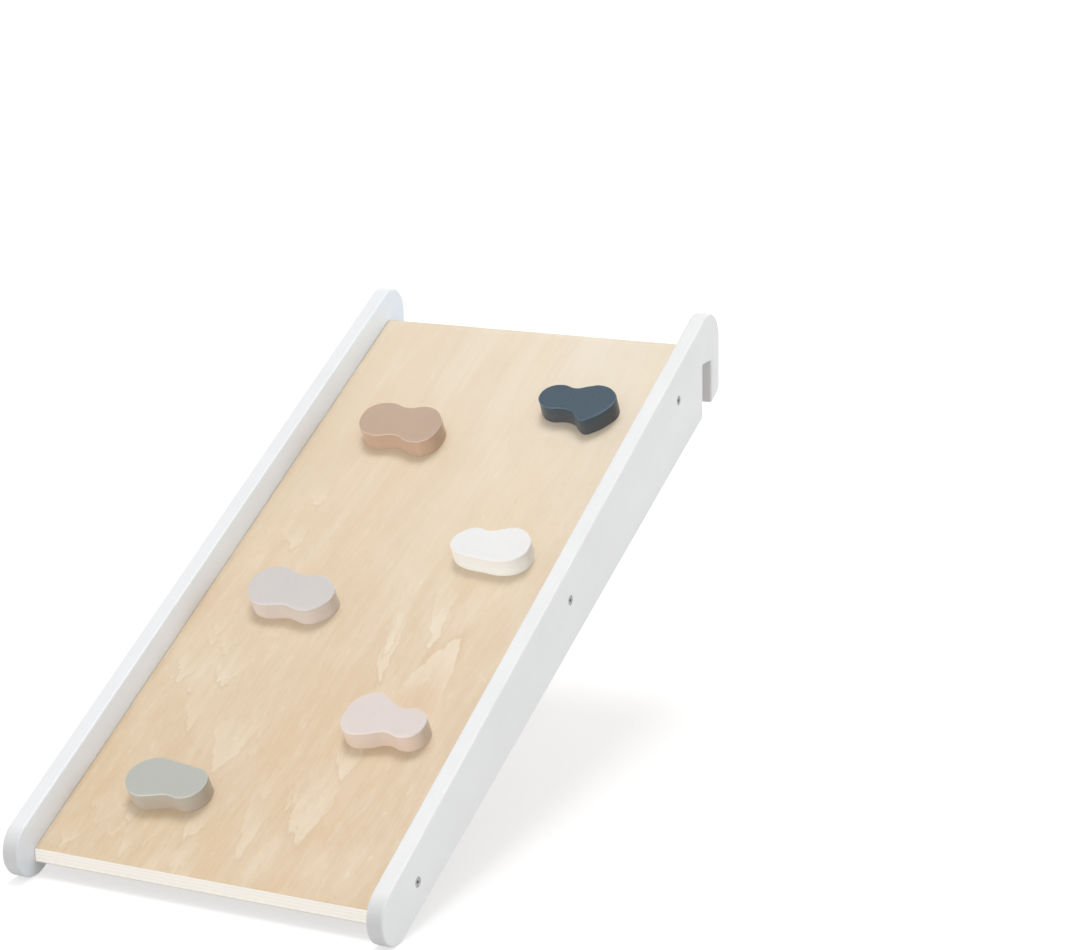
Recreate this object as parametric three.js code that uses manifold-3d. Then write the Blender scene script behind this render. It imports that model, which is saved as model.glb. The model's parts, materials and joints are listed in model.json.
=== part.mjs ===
// Climbing ramp for children: a veneered plywood deck between two white side boards, with six
// painted wooden holds. Hooks at the top of the boards hang over the edge of an upright panel,
// and the round feet stand on the floor.
// Millimetres. X runs across the ramp, Y from the feet to the hooks, Z up. The origin is on the
// floor, at the centre of the space that the ramp takes up.

import * as THREE from "three";
import { mergeVertices } from "three/addons/utils/BufferGeometryUtils.js";
import Module from "manifold-3d";

// Driving dimensions
const rampAngle = 26.9;
const rampWidth = 500;
const railHeight = 464;
const railSlotWidth = 30;
const hookLegThickness = 28;
const hookLegDrop = 46;

// Side boards
const boardThickness = 21;
const footRadius = 36;
const boardHookDepth = 96;
const boardEdgeRadius = 3;
const boardTopRadius = 36;
const hookLegRadius = 9;
const hookFrontRadius = 5;
const slotCornerRadius = 3;

// Deck
const deckThickness = 15;
const deckDrop = 36;
const deckFootSetback = 34;
const deckOverPanel = 12;
const deckPanelClearance = 0.5;
const deckSideGap = 0.6;

// Holds: the size of each one, its place on the deck and its outline. Places are shares of the
// deck's clear width and of its length, and outline points are shares of half the hold's size.
const holdThickness = 25;
const holdEdgeRadius = 2;
const holdSeatGap = 0.3;
const roseHold = { length: 120, width: 72 };
const navyHold = { length: 108, width: 72 };
const whiteHold = { length: 106, width: 62 };
const lilacHold = { length: 121, width: 70 };
const pinkHold = { length: 107, width: 69 };
const sageHold = { length: 105, width: 62 };
const holdTable = [
  {
    name: "rose",
    color: 0xb79b8b,
    size: roseHold,
    placeShares: [-0.209, 0.764],
    outlineShares: [
      [-1.0, 0.16],
      [-0.9, 0.71],
      [-0.5, 1.0],
      [0.0, 0.82],
      [0.46, 0.98],
      [0.82, 0.66],
      [1.0, -0.1],
      [0.82, -0.86],
      [0.5, -0.99],
      [0.06, -0.71],
      [-0.48, -0.84],
      [-0.86, -0.5],
    ],
  },
  {
    name: "navy",
    color: 0x44535f,
    size: navyHold,
    placeShares: [0.283, 0.838],
    outlineShares: [
      [-1.0, 0.13],
      [-0.88, 0.64],
      [-0.55, 0.84],
      [-0.15, 0.72],
      [0.14, 0.89],
      [0.42, 1.0],
      [0.82, 0.76],
      [1.0, 0.23],
      [0.85, -0.4],
      [0.58, -0.86],
      [0.42, -0.99],
      [0.24, -0.84],
      [0.02, -0.53],
      [-0.25, -0.44],
      [-0.6, -0.49],
      [-0.88, -0.25],
    ],
  },
  {
    name: "white",
    color: 0xf1f0ee,
    size: whiteHold,
    placeShares: [0.276, 0.562],
    outlineShares: [
      [-1.0, -0.12],
      [-0.88, 0.4],
      [-0.56, 0.75],
      [-0.2, 0.66],
      [0.12, 0.85],
      [0.42, 1.0],
      [0.82, 0.68],
      [1.0, 0.0],
      [0.85, -0.68],
      [0.45, -0.99],
      [-0.1, -0.94],
      [-0.6, -0.83],
      [-0.9, -0.56],
    ],
  },
  {
    name: "lilac",
    color: 0xcfcbcd,
    size: lilacHold,
    placeShares: [-0.215, 0.4415],
    outlineShares: [
      [-1.0, 0.08],
      [-0.88, 0.65],
      [-0.5, 0.99],
      [-0.12, 0.8],
      [0.14, 0.7],
      [0.5, 0.79],
      [0.86, 0.44],
      [1.0, -0.06],
      [0.87, -0.66],
      [0.56, -1.0],
      [0.05, -0.85],
      [-0.48, -0.98],
      [-0.78, -0.76],
      [-0.93, -0.32],
    ],
  },
  {
    name: "pink",
    color: 0xdccfca,
    size: pinkHold,
    placeShares: [0.2655, 0.2585],
    outlineShares: [
      [-1.0, 0.0],
      [-0.86, 0.66],
      [-0.44, 1.0],
      [-0.1, 0.74],
      [0.25, 0.49],
      [0.62, 0.54],
      [0.91, 0.3],
      [1.0, -0.12],
      [0.87, -0.64],
      [0.56, -0.82],
      [0.15, -0.69],
      [-0.25, -0.91],
      [-0.62, -1.0],
      [-0.9, -0.74],
    ],
  },
  {
    name: "sage",
    color: 0xb0b4aa,
    size: sageHold,
    placeShares: [-0.2225, 0.1127],
    outlineShares: [
      [-1.0, -0.06],
      [-0.88, 0.56],
      [-0.45, 0.99],
      [0.0, 0.92],
      [0.45, 0.83],
      [0.86, 0.64],
      [1.0, 0.15],
      [0.9, -0.44],
      [0.6, -0.77],
      [0.22, -0.72],
      [-0.12, -0.87],
      [-0.45, -0.99],
      [-0.82, -0.7],
    ],
  },
];

// One-piece side screws with a hexagon socket, through the boards into the edges of the deck
const sideScrew = {
  length: 50,
  headRadius: 6,
  headHeight: 2.4,
  coneHeight: 3.2,
  shankRadius: 2.5,
  tipHeight: 4,
  tipRadius: 0.9,
  socketAcross: 4,
  socketDepth: 3.4,
  edgeBreak: 0.4,
};
const sideScrewDrop = 40;
const sideScrewRecess = 0.4;
const sideScrewShares = [0.053, 0.509, 0.891];

// Wood screws through the deck into the holds, two to each
const holdScrew = {
  length: 35,
  headRadius: 4.6,
  headHeight: 0.6,
  coneHeight: 2.6,
  shankRadius: 2.3,
  tipHeight: 4.5,
  tipRadius: 0.6,
  socketAcross: 2.8,
  socketDepth: 2,
  edgeBreak: 0.2,
};
const holdScrewRecess = 0.3;
const holdScrewShares = [-0.46, 0.46];

// Dowels between the boards and the deck
const dowelRadius = 4;
const dowelLength = 36;
const dowelInBoard = 14;
const dowelChamfer = 1;
const dowelShares = [0.1, 0.3, 0.7, 0.95];

// Fits and rounding
const holeClearance = 0.3;
const holeEndClearance = 0.6;
const cutOverrun = 2;
const arcStep = Math.PI / 24;
const turnSides = 12;
const curvePoints = 44;
const bevelSteps = 1;

const wasm = await Module();
wasm.setup();

// Derived places, measured from the centre of the round feet: s runs up the slope and n square
// out of it, while y and z are level and plumb.
const tilt = THREE.MathUtils.degToRad(rampAngle);
const topEdge = footRadius;
const deckTop = topEdge - deckDrop;
const deckUnderside = deckTop - deckThickness;
const ledgeHeight = railHeight - footRadius;
const clearedHeight = ledgeHeight + deckPanelClearance;
const panelFace = (clearedHeight - deckUnderside / Math.cos(tilt)) / Math.tan(tilt);
const slotBack = panelFace + railSlotWidth;
const hookBack = slotBack + hookLegThickness;
const hookEnd = ledgeHeight - hookLegDrop;
const deckStart = deckFootSetback - footRadius;
const deckEnd = (panelFace + deckOverPanel + deckTop * Math.sin(tilt)) / Math.cos(tilt);
const deckLength = deckEnd - deckStart;
const deckWidth = rampWidth - 2 * (boardThickness + deckSideGap);

const xAxis = new THREE.Vector3(1, 0, 0);
const yAxis = new THREE.Vector3(0, 1, 0);
const zAxis = new THREE.Vector3(0, 0, 1);

// Where a level and plumb place lies in the slope's own directions.
function onSlope(y, z) {
  return new THREE.Vector2(
    y * Math.cos(tilt) + z * Math.sin(tilt),
    z * Math.cos(tilt) - y * Math.sin(tilt),
  );
}

// The distance up the slope along the deck at a share of its length.
function alongDeck(share) {
  return deckStart + share * deckLength;
}

// The points of a closed outline, without any that lies on the one before it.
function withoutRepeats(points) {
  const closeness = holeClearance * Math.sqrt(Number.EPSILON);
  const before = (index) => points[(index + points.length - 1) % points.length];
  return points.filter((point, index) => point.distanceTo(before(index)) > closeness);
}

// A closed outline through corners that are each rounded by their own radius.
function roundedShape(corners) {
  const points = [];
  corners.forEach(({ at, radius }, index) => {
    const before = corners[(index + corners.length - 1) % corners.length].at;
    const after = corners[(index + 1) % corners.length].at;
    const back = before.clone().sub(at).normalize();
    const ahead = after.clone().sub(at).normalize();
    const half = back.angleTo(ahead) / 2;
    const middle = back.clone().add(ahead).normalize();
    const centre = at.clone().addScaledVector(middle, radius / Math.sin(half));
    const first = at.clone().addScaledVector(back, radius / Math.tan(half)).sub(centre);
    const turn = Math.PI - 2 * half;
    const side = Math.sign(back.y * ahead.x - back.x * ahead.y);
    const steps = Math.max(1, Math.ceil(turn / arcStep));
    for (let step = 0; step <= steps; step += 1) {
      const spoke = first.clone().rotateAround(new THREE.Vector2(), (side * turn * step) / steps);
      points.push(spoke.add(centre));
    }
  });
  return new THREE.Shape(withoutRepeats(points));
}

// The outline of a side board: a round foot, an underside that deepens towards the hook, and the
// hook with its plumb slot.
function boardShape() {
  const frontDepth = topEdge - boardHookDepth;
  const frontCorner = new THREE.Vector2(
    (panelFace + frontDepth * Math.sin(tilt)) / Math.cos(tilt),
    frontDepth,
  );
  const reach = frontCorner.length();
  const taper = Math.asin(footRadius / reach) + frontCorner.angle();
  const footDepth = frontCorner.y - (frontCorner.x + footRadius) * Math.tan(taper);
  const topAtBack = (hookBack + topEdge * Math.sin(tilt)) / Math.cos(tilt);
  return roundedShape([
    { at: new THREE.Vector2(-footRadius, topEdge), radius: footRadius },
    { at: new THREE.Vector2(-footRadius, footDepth), radius: footRadius },
    { at: frontCorner, radius: hookFrontRadius },
    { at: onSlope(panelFace, ledgeHeight), radius: slotCornerRadius },
    { at: onSlope(slotBack, ledgeHeight), radius: slotCornerRadius },
    { at: onSlope(slotBack, hookEnd), radius: hookLegRadius },
    { at: onSlope(hookBack, hookEnd), radius: hookLegRadius },
    { at: new THREE.Vector2(topAtBack, topEdge), radius: boardTopRadius },
  ]);
}

// Turns a shape drawn in s and n into a slab across the ramp that starts at x.
function slab(shape, x, thickness, edgeRadius) {
  const geometry = new THREE.ExtrudeGeometry(shape, {
    depth: thickness - 2 * edgeRadius,
    bevelEnabled: edgeRadius > 0,
    bevelThickness: edgeRadius,
    bevelSize: edgeRadius,
    bevelOffset: -edgeRadius,
    bevelSegments: bevelSteps,
  });
  geometry.translate(0, 0, edgeRadius);
  geometry.applyMatrix4(new THREE.Matrix4().makeBasis(yAxis, zAxis, xAxis));
  return geometry.translate(x, 0, 0);
}

// A turned solid whose profile runs along its axis from a start place in a given direction.
function turned(profile, start, direction) {
  const points = profile.map(([radius, height]) => new THREE.Vector2(radius, height));
  const geometry = new THREE.LatheGeometry(withoutRepeats(points), turnSides);
  geometry.applyQuaternion(new THREE.Quaternion().setFromUnitVectors(yAxis, direction));
  return geometry.translate(start.x, start.y, start.z);
}

// A screw's profile, or with a growth the profile of the hole that clears it.
function screwProfile(screw, growth, overrun) {
  const neck = screw.headHeight + screw.coneHeight;
  const end = screw.length + (growth > 0 ? holeEndClearance : 0);
  const breakSize = growth > 0 ? 0 : screw.edgeBreak;
  const tip = growth > 0 ? 0 : screw.tipHeight;
  return [
    [0, -overrun],
    [screw.headRadius + growth - breakSize, -overrun],
    [screw.headRadius + growth, breakSize],
    [screw.headRadius + growth, screw.headHeight],
    [screw.shankRadius + growth, neck],
    [screw.shankRadius + growth, end - tip],
    [growth > 0 ? 0 : screw.tipRadius, end],
    [0, end],
  ];
}

// The hexagon socket of a screw, as a solid to cut from its head.
function socket(screw, start, direction) {
  const radius = screw.socketAcross / Math.sqrt(3);
  const height = screw.socketDepth + cutOverrun;
  const geometry = new THREE.CylinderGeometry(radius, radius, height, 6);
  geometry.translate(0, height / 2 - cutOverrun, 0);
  geometry.applyQuaternion(new THREE.Quaternion().setFromUnitVectors(yAxis, direction));
  return geometry.translate(start.x, start.y, start.z);
}

// A dowel, or with a growth the hole that clears it, centred on a place and lying along X.
function dowelSolid(centre, growth) {
  const half = dowelLength / 2 + (growth > 0 ? holeEndClearance : 0);
  const chamfer = growth > 0 ? 0 : dowelChamfer;
  const radius = dowelRadius + growth;
  const profile = [
    [0, -half],
    [radius - chamfer, -half],
    [radius, chamfer - half],
    [radius, half - chamfer],
    [radius - chamfer, half],
    [0, half],
  ];
  return turned(profile, centre, xAxis);
}

// A manifold-3d solid from a three.js geometry, and a geometry from such a solid.
function toSolid(geometry) {
  const bare = geometry.clone();
  bare.deleteAttribute("normal");
  bare.deleteAttribute("uv");
  const merged = mergeVertices(bare);
  const vertProperties = new Float32Array(merged.attributes.position.array);
  const triVerts = new Uint32Array(merged.index.array);
  return new wasm.Manifold(new wasm.Mesh({ numProp: 3, vertProperties, triVerts }));
}

function toGeometry(solid) {
  const { vertProperties, triVerts } = solid.getMesh();
  const geometry = new THREE.BufferGeometry();
  geometry.setAttribute("position", new THREE.BufferAttribute(vertProperties, 3));
  geometry.setIndex(new THREE.BufferAttribute(triVerts, 1));
  geometry.computeVertexNormals();
  return geometry;
}

function cut(geometry, tools) {
  return toGeometry(tools.reduce((solid, tool) => solid.subtract(toSolid(tool)), toSolid(geometry)));
}

// Where the side screws, dowels and hold screws start or are centred, and which way they point.
// side is -1 on the left of the ramp and 1 on its right.
function sideScrewPlaces(side) {
  const x = side * (rampWidth / 2 - sideScrewRecess);
  const direction = new THREE.Vector3(-side, 0, 0);
  return sideScrewShares.map((share) => ({
    start: new THREE.Vector3(x, alongDeck(share), topEdge - sideScrewDrop),
    direction,
  }));
}

function dowelPlaces(side) {
  const innerFace = rampWidth / 2 - boardThickness;
  const x = side * (innerFace + dowelInBoard - dowelLength / 2);
  const n = deckTop - deckThickness / 2;
  return dowelShares.map((share) => new THREE.Vector3(x, alongDeck(share), n));
}

function holdScrewPlaces(hold) {
  const [x, s] = holdCentre(hold);
  return holdScrewShares.map((share) => ({
    start: new THREE.Vector3(x + (share * hold.size.length) / 2, s, deckUnderside + holdScrewRecess),
    direction: zAxis,
  }));
}

function holdCentre(hold) {
  const [acrossShare, alongShare] = hold.placeShares;
  return [acrossShare * deckWidth, alongDeck(alongShare)];
}

function screwHoles(places, screw) {
  const profile = screwProfile(screw, holeClearance, cutOverrun);
  return places.map(({ start, direction }) => turned(profile, start, direction));
}

// Side boards
function sideBoard(side) {
  const x = side < 0 ? -rampWidth / 2 : rampWidth / 2 - boardThickness;
  const blank = slab(boardShape(), x, boardThickness, boardEdgeRadius);
  const dowelHoles = dowelPlaces(side).map((centre) => dowelSolid(centre, holeClearance));
  return cut(blank, [...screwHoles(sideScrewPlaces(side), sideScrew), ...dowelHoles]);
}

// Deck with plumb ends
function deckPanel() {
  const endRun = deckThickness * Math.tan(tilt);
  const shape = new THREE.Shape([
    new THREE.Vector2(deckStart - endRun, deckUnderside),
    new THREE.Vector2(deckEnd - endRun, deckUnderside),
    new THREE.Vector2(deckEnd, deckTop),
    new THREE.Vector2(deckStart, deckTop),
  ]);
  const blank = slab(shape, -deckWidth / 2, deckWidth, 0);
  const sides = [-1, 1];
  return cut(blank, [
    ...sides.flatMap((side) => screwHoles(sideScrewPlaces(side), sideScrew)),
    ...sides.flatMap((side) => dowelPlaces(side).map((centre) => dowelSolid(centre, holeClearance))),
    ...holdTable.flatMap((hold) => screwHoles(holdScrewPlaces(hold), holdScrew)),
  ]);
}

// A hold lies flat on the deck, its outline a smooth closed curve.
function holdBlock(hold) {
  const [x, s] = holdCentre(hold);
  const { length, width } = hold.size;
  const places = hold.outlineShares.map(
    ([along, across]) => new THREE.Vector3((along * length) / 2, (across * width) / 2, 0),
  );
  const curve = new THREE.CatmullRomCurve3(places, true, "centripetal");
  const outline = curve.getSpacedPoints(curvePoints).slice(1);
  const shape = new THREE.Shape(outline.map((place) => new THREE.Vector2(place.x, place.y)));
  const blank = new THREE.ExtrudeGeometry(shape, {
    depth: holdThickness - 2 * holdEdgeRadius,
    bevelThickness: holdEdgeRadius,
    bevelSize: holdEdgeRadius,
    bevelOffset: -holdEdgeRadius,
    bevelSegments: bevelSteps,
  });
  blank.translate(x, s, deckTop + holdSeatGap + holdEdgeRadius);
  return cut(blank, screwHoles(holdScrewPlaces(hold), holdScrew));
}

function screwBody(screw, { start, direction }) {
  const blank = turned(screwProfile(screw, 0, 0), start, direction);
  return cut(blank, [socket(screw, start, direction)]);
}

const paint = (color, roughness) => new THREE.MeshStandardMaterial({ color, roughness, metalness: 0 });
const materials = {
  board: paint(0xf2f2f0, 0.45),
  deck: paint(0xe3cba9, 0.6),
  dowel: paint(0xd8bd93, 0.8),
  screw: new THREE.MeshStandardMaterial({ color: 0x8d8f92, roughness: 0.4, metalness: 0.9 }),
};

const slope = new THREE.Group();
function add(name, geometry, material) {
  const mesh = new THREE.Mesh(geometry, material);
  mesh.name = name;
  slope.add(mesh);
}

const sideNames = { left: -1, right: 1 };
for (const [sideName, side] of Object.entries(sideNames)) {
  add(`side_board_${sideName}`, sideBoard(side), materials.board);
  sideScrewPlaces(side).forEach((place, index) => {
    add(`side_screw_${sideName}_${index + 1}`, screwBody(sideScrew, place), materials.screw);
  });
  dowelPlaces(side).forEach((centre, index) => {
    add(`dowel_${sideName}_${index + 1}`, dowelSolid(centre, 0), materials.dowel);
  });
}
add("deck_panel", deckPanel(), materials.deck);
for (const hold of holdTable) {
  add(`hold_${hold.name}`, holdBlock(hold), paint(hold.color, 0.5));
  holdScrewPlaces(hold).forEach((place, index) => {
    add(`hold_screw_${hold.name}_${index + 1}`, screwBody(holdScrew, place), materials.screw);
  });
}

// The slope leans on its round feet, and the middle of its run lies over the origin.
slope.rotation.x = tilt;
slope.position.set(0, (footRadius - hookBack) / 2, footRadius);

const ramp = new THREE.Group();
ramp.add(slope);
export default ramp;
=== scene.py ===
import json
import math

import bpy
from mathutils import Matrix, Vector

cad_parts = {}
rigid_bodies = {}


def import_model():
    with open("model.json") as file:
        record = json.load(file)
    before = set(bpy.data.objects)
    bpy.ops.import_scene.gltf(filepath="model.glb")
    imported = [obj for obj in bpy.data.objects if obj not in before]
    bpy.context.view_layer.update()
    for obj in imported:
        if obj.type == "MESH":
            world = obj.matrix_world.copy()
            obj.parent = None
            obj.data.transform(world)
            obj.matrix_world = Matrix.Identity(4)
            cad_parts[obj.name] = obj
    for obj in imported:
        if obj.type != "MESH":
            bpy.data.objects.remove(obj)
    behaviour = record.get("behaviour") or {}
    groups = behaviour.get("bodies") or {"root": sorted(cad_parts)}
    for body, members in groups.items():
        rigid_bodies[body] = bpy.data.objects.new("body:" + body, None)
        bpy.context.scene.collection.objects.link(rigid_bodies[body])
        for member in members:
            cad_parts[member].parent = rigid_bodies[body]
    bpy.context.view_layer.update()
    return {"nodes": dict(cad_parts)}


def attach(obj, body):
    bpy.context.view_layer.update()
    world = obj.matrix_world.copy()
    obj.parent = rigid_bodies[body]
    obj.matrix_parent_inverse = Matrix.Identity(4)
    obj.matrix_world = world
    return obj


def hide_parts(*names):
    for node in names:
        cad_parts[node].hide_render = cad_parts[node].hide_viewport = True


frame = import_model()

# Side boards
# Two solid boards, sawn to one outline and lacquered satin white: a round foot that stands on the
# floor, an underside that deepens up the slope, and a plumb hook that hangs over a panel's edge.
# The long edges are rounded over with a router, and three screw seats are bored from outside.
slope = math.radians(26.9)
ramp_width = 0.5
board_thickness = 0.021
foot_radius = 0.0359
foot_centre = Vector((0, -0.44989, 0.036))
top_centre = Vector((0, 0.44989, 0.49248))
outline_vertices = 160
slot_front = 0.42789
slot_back = 0.45789
slot_saw_start = 0.35
hook_back = 0.48582
ledge_height = 0.464
toe_height = 0.41404
toe_thickness = 0.001
leg_end_height = 0.418
hook_corners = [
    # place along the ramp, height, radius and inner angle of each small corner
    (slot_front, toe_height, 0.005, 116),
    (slot_front, ledge_height, 0.003, 90),
    (slot_back, ledge_height, 0.003, 90),
    (slot_back, leg_end_height, 0.009, 90),
    (hook_back, leg_end_height, 0.009, 90),
]
corner_segments = 10
corner_reach = 0.0012
edge_rounding = 0.0026
edge_segments = 4
sharp_angle = math.radians(35)
flat_angle = math.radians(0.8)
overrun = 0.01
up_slope = Vector((0, math.cos(slope), math.sin(slope)))
off_slope = Vector((0, -math.sin(slope), math.cos(slope)))


def choose(piece):
    bpy.ops.object.select_all(action="DESELECT")
    piece.select_set(True)
    bpy.context.view_layer.objects.active = piece


def pick(piece, kind, wanted):
    """Opens edit mode with the faces, or the edges, selected that wanted says yes to."""
    choose(piece)
    bpy.ops.object.mode_set(mode="EDIT")
    bpy.ops.mesh.select_mode(type=kind)
    bpy.ops.mesh.select_all(action="DESELECT")
    bpy.ops.object.mode_set(mode="OBJECT")
    mesh = piece.data
    if kind == "FACE":
        for face in mesh.polygons:
            face.select = wanted(face.center, face.normal)
    else:
        for edge in mesh.edges:
            start, end = (mesh.vertices[index].co for index in edge.vertices)
            edge.select = wanted(start, end)
    bpy.ops.object.mode_set(mode="EDIT")


def finish_edit():
    bpy.ops.object.mode_set(mode="OBJECT")


def settle(piece):
    """Moves a piece's place into its mesh."""
    choose(piece)
    bpy.ops.object.transform_apply(location=True, rotation=True, scale=True)


def block(low, high, turn=0.0):
    """A block between two corners, turned about its own middle across the ramp."""
    low, high = Vector(low), Vector(high)
    bpy.ops.object.select_all(action="DESELECT")
    bpy.ops.mesh.primitive_cube_add(size=1, location=(low + high) / 2, rotation=(turn, 0, 0))
    piece = bpy.context.object
    piece.scale = high - low
    settle(piece)
    return piece


def rod(start, direction, radius, length, vertices=48):
    """A round bar from a start place, as long as asked."""
    turn = direction.to_track_quat("Z", "Y")
    bpy.ops.object.select_all(action="DESELECT")
    bpy.ops.mesh.primitive_cylinder_add(
        vertices=vertices,
        radius=radius,
        depth=length,
        location=start + direction * length / 2,
        rotation=turn.to_euler(),
    )
    piece = bpy.context.object
    settle(piece)
    return piece


def finish_with(piece, kind, **settings):
    """Adds one modifier and applies it."""
    choose(piece)
    modifier = piece.modifiers.new(kind.lower(), kind)
    for name, value in settings.items():
        setattr(modifier, name, value)
    bpy.ops.object.modifier_apply(modifier=modifier.name)


def take_away(piece, cutters):
    """Saws or bores the cutters' space out of a piece, and clears the cutters away."""
    for cutter in cutters:
        finish_with(piece, "BOOLEAN", object=cutter, operation="DIFFERENCE", solver="EXACT")
        bpy.data.objects.remove(cutter)


def joined(pieces):
    bpy.ops.object.select_all(action="DESELECT")
    for piece in pieces:
        piece.select_set(True)
    bpy.context.view_layer.objects.active = pieces[0]
    bpy.ops.object.join()
    return bpy.context.object


def lies_at(start, end, place, reach):
    """Says yes where both ends of an edge are within reach of a place, seen from the side."""
    return all((point.yz - place.yz).length < reach for point in (start, end))


def shade(piece):
    """Shades the roundings smooth and keeps the flats flat."""
    choose(piece)
    bpy.ops.object.shade_smooth_by_angle(angle=sharp_angle)
    finish_with(piece, "WEIGHTED_NORMAL", keep_sharp=True, weight=100)


def soften(piece, width, segments):
    """Rounds over the sharp edges and shades the piece."""
    finish_with(
        piece,
        "BEVEL",
        width=width,
        segments=segments,
        limit_method="ANGLE",
        angle_limit=sharp_angle,
        use_clamp_overlap=False,
    )
    shade(piece)


def call(piece, name, material, node):
    """Names a finished piece, gives it its material, hangs it on the root body, and hides the node it
    stands for.
    """
    piece.name = name
    piece.data.name = name
    piece.data.materials.clear()
    piece.data.materials.append(material)
    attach(piece, "root")
    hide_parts(node)


def feed(node, values):
    """Gives a shader node's inputs, by name or number, their values or the sockets they read."""
    for title, value in values.items():
        if isinstance(value, bpy.types.NodeSocket):
            node.id_data.links.new(value, node.inputs[title])
        else:
            node.inputs[title].default_value = value


def put(tree, kind, values=None, **settings):
    """Adds a shader node with its settings, and then feeds its inputs."""
    node = tree.nodes.new(kind)
    for name, value in settings.items():
        setattr(node, name, value)
    feed(node, values or {})
    return node


def start_group(name, inputs, outputs):
    """A new shader node group with its sockets; inputs map a name to a kind and a value."""
    tree = bpy.data.node_groups.new(name, "ShaderNodeTree")
    for title, (kind, value) in inputs.items():
        socket = tree.interface.new_socket(title, in_out="INPUT", socket_type=kind)
        if value is not None:
            socket.default_value = value
    for title, kind in outputs.items():
        tree.interface.new_socket(title, in_out="OUTPUT", socket_type=kind)
    return tree, tree.nodes.new("NodeGroupInput"), tree.nodes.new("NodeGroupOutput")


def start_material(name, **fixed):
    """A new material whose shader's own sockets hold the values that don't change."""
    material = bpy.data.materials.new(name)
    material.use_nodes = True
    shader = material.node_tree.nodes["Principled BSDF"]
    feed(shader, fixed)
    return material, material.node_tree, shader


def maths(tree, operation, *values):
    return put(tree, "ShaderNodeMath", dict(enumerate(values)), operation=operation).outputs["Value"]


def ramp(tree, value, low, high, to_low=0.0, to_high=1.0):
    """Turns low to high, and what lies between, into to_low to to_high, and goes no further."""
    node = put(
        tree,
        "ShaderNodeMapRange",
        {"Value": value, "From Min": low, "From Max": high, "To Min": to_low, "To Max": to_high},
    )
    return node.outputs["Result"]


def noise(tree, vector, lumps, detail=2.0, roughness=0.5):
    """Noise with a number of lumps a metre."""
    node = put(
        tree,
        "ShaderNodeTexNoise",
        {"Vector": vector, "Scale": lumps, "Detail": detail, "Roughness": roughness},
    )
    return node.outputs["Fac"]


def blend_colors(tree, factor, first, second, blend_type="MIX"):
    values = {"Factor": factor, "A": first, "B": second}
    node = put(tree, "ShaderNodeMix", values, data_type="RGBA", blend_type=blend_type)
    return node.outputs["Result"]


# The sprayed film that the boards and holds share: faint clouds in its tone, a roughness that
# varies as spray does, and a fine orange peel.
film, film_in, film_out = start_group(
    "sprayed_film",
    {
        "Vector": ("NodeSocketVector", None),
        "Color": ("NodeSocketColor", (0.8, 0.8, 0.8, 1)),
        "Shade": ("NodeSocketColor", (0.7, 0.7, 0.7, 1)),
        "Roughness": ("NodeSocketFloat", 0.4),
        "Peel": ("NodeSocketFloat", 0.05),
    },
    {"Color": "NodeSocketColor", "Roughness": "NodeSocketFloat", "Normal": "NodeSocketVector"},
)
clouds = noise(film, film_in.outputs["Vector"], 14.0, 3.0, 0.55)
spray = noise(film, film_in.outputs["Vector"], 420.0, 2.0, 0.6)
peel = noise(film, film_in.outputs["Vector"], 900.0, 1.0, 0.4)
cloud_share = ramp(film, clouds, 0.35, 0.7)
spray_share = ramp(film, spray, 0.3, 0.7, 0.9, 1.12)
film_bump = put(
    film,
    "ShaderNodeBump",
    {"Height": peel, "Strength": film_in.outputs["Peel"], "Distance": 0.0003},
)
feed(
    film_out,
    {
        "Color": blend_colors(film, cloud_share, film_in.outputs["Color"], film_in.outputs["Shade"]),
        "Roughness": maths(film, "MULTIPLY", film_in.outputs["Roughness"], spray_share),
        "Normal": film_bump.outputs["Normal"],
    },
)


def sprayed(name, color, shaded, roughness, peel_strength):
    """A painted finish that takes its tone, roughness and peel from the sprayed film."""
    material, tree, shader = start_material(name)
    coat = put(
        tree,
        "ShaderNodeGroup",
        {
            "Vector": put(tree, "ShaderNodeTexCoord").outputs["Object"],
            "Color": (*color, 1),
            "Shade": (*shaded, 1),
            "Roughness": roughness,
            "Peel": peel_strength,
        },
        node_tree=film,
    )
    feed(
        shader,
        {
            "Base Color": coat.outputs["Color"],
            "Roughness": coat.outputs["Roughness"],
            "Normal": coat.outputs["Normal"],
        },
    )
    return material


white_lacquer = sprayed(
    "white_lacquer",
    color=(0.815, 0.818, 0.822),
    shaded=(0.792, 0.795, 0.8),
    roughness=0.38,
    peel_strength=0.06,
)

deck_length = 0.9997
deck_setback = 0.002
deck_start = foot_centre - up_slope * deck_setback
screw_shares = (0.053, 0.509, 0.891)
screw_drop = 0.004
screw_recess = 0.0004
seat_radius = 0.0063
seat_depth = 0.0028
clearance_radius = 0.0029
clearance_depth = 0.04


def side_screw_places(side):
    """Where the side screws' heads lie on a board's outer face, and which way they point."""
    for share in screw_shares:
        place = deck_start + up_slope * share * deck_length - off_slope * screw_drop
        place.x = side * (ramp_width / 2 - screw_recess)
        yield place, Vector((-side, 0, 0))


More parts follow.
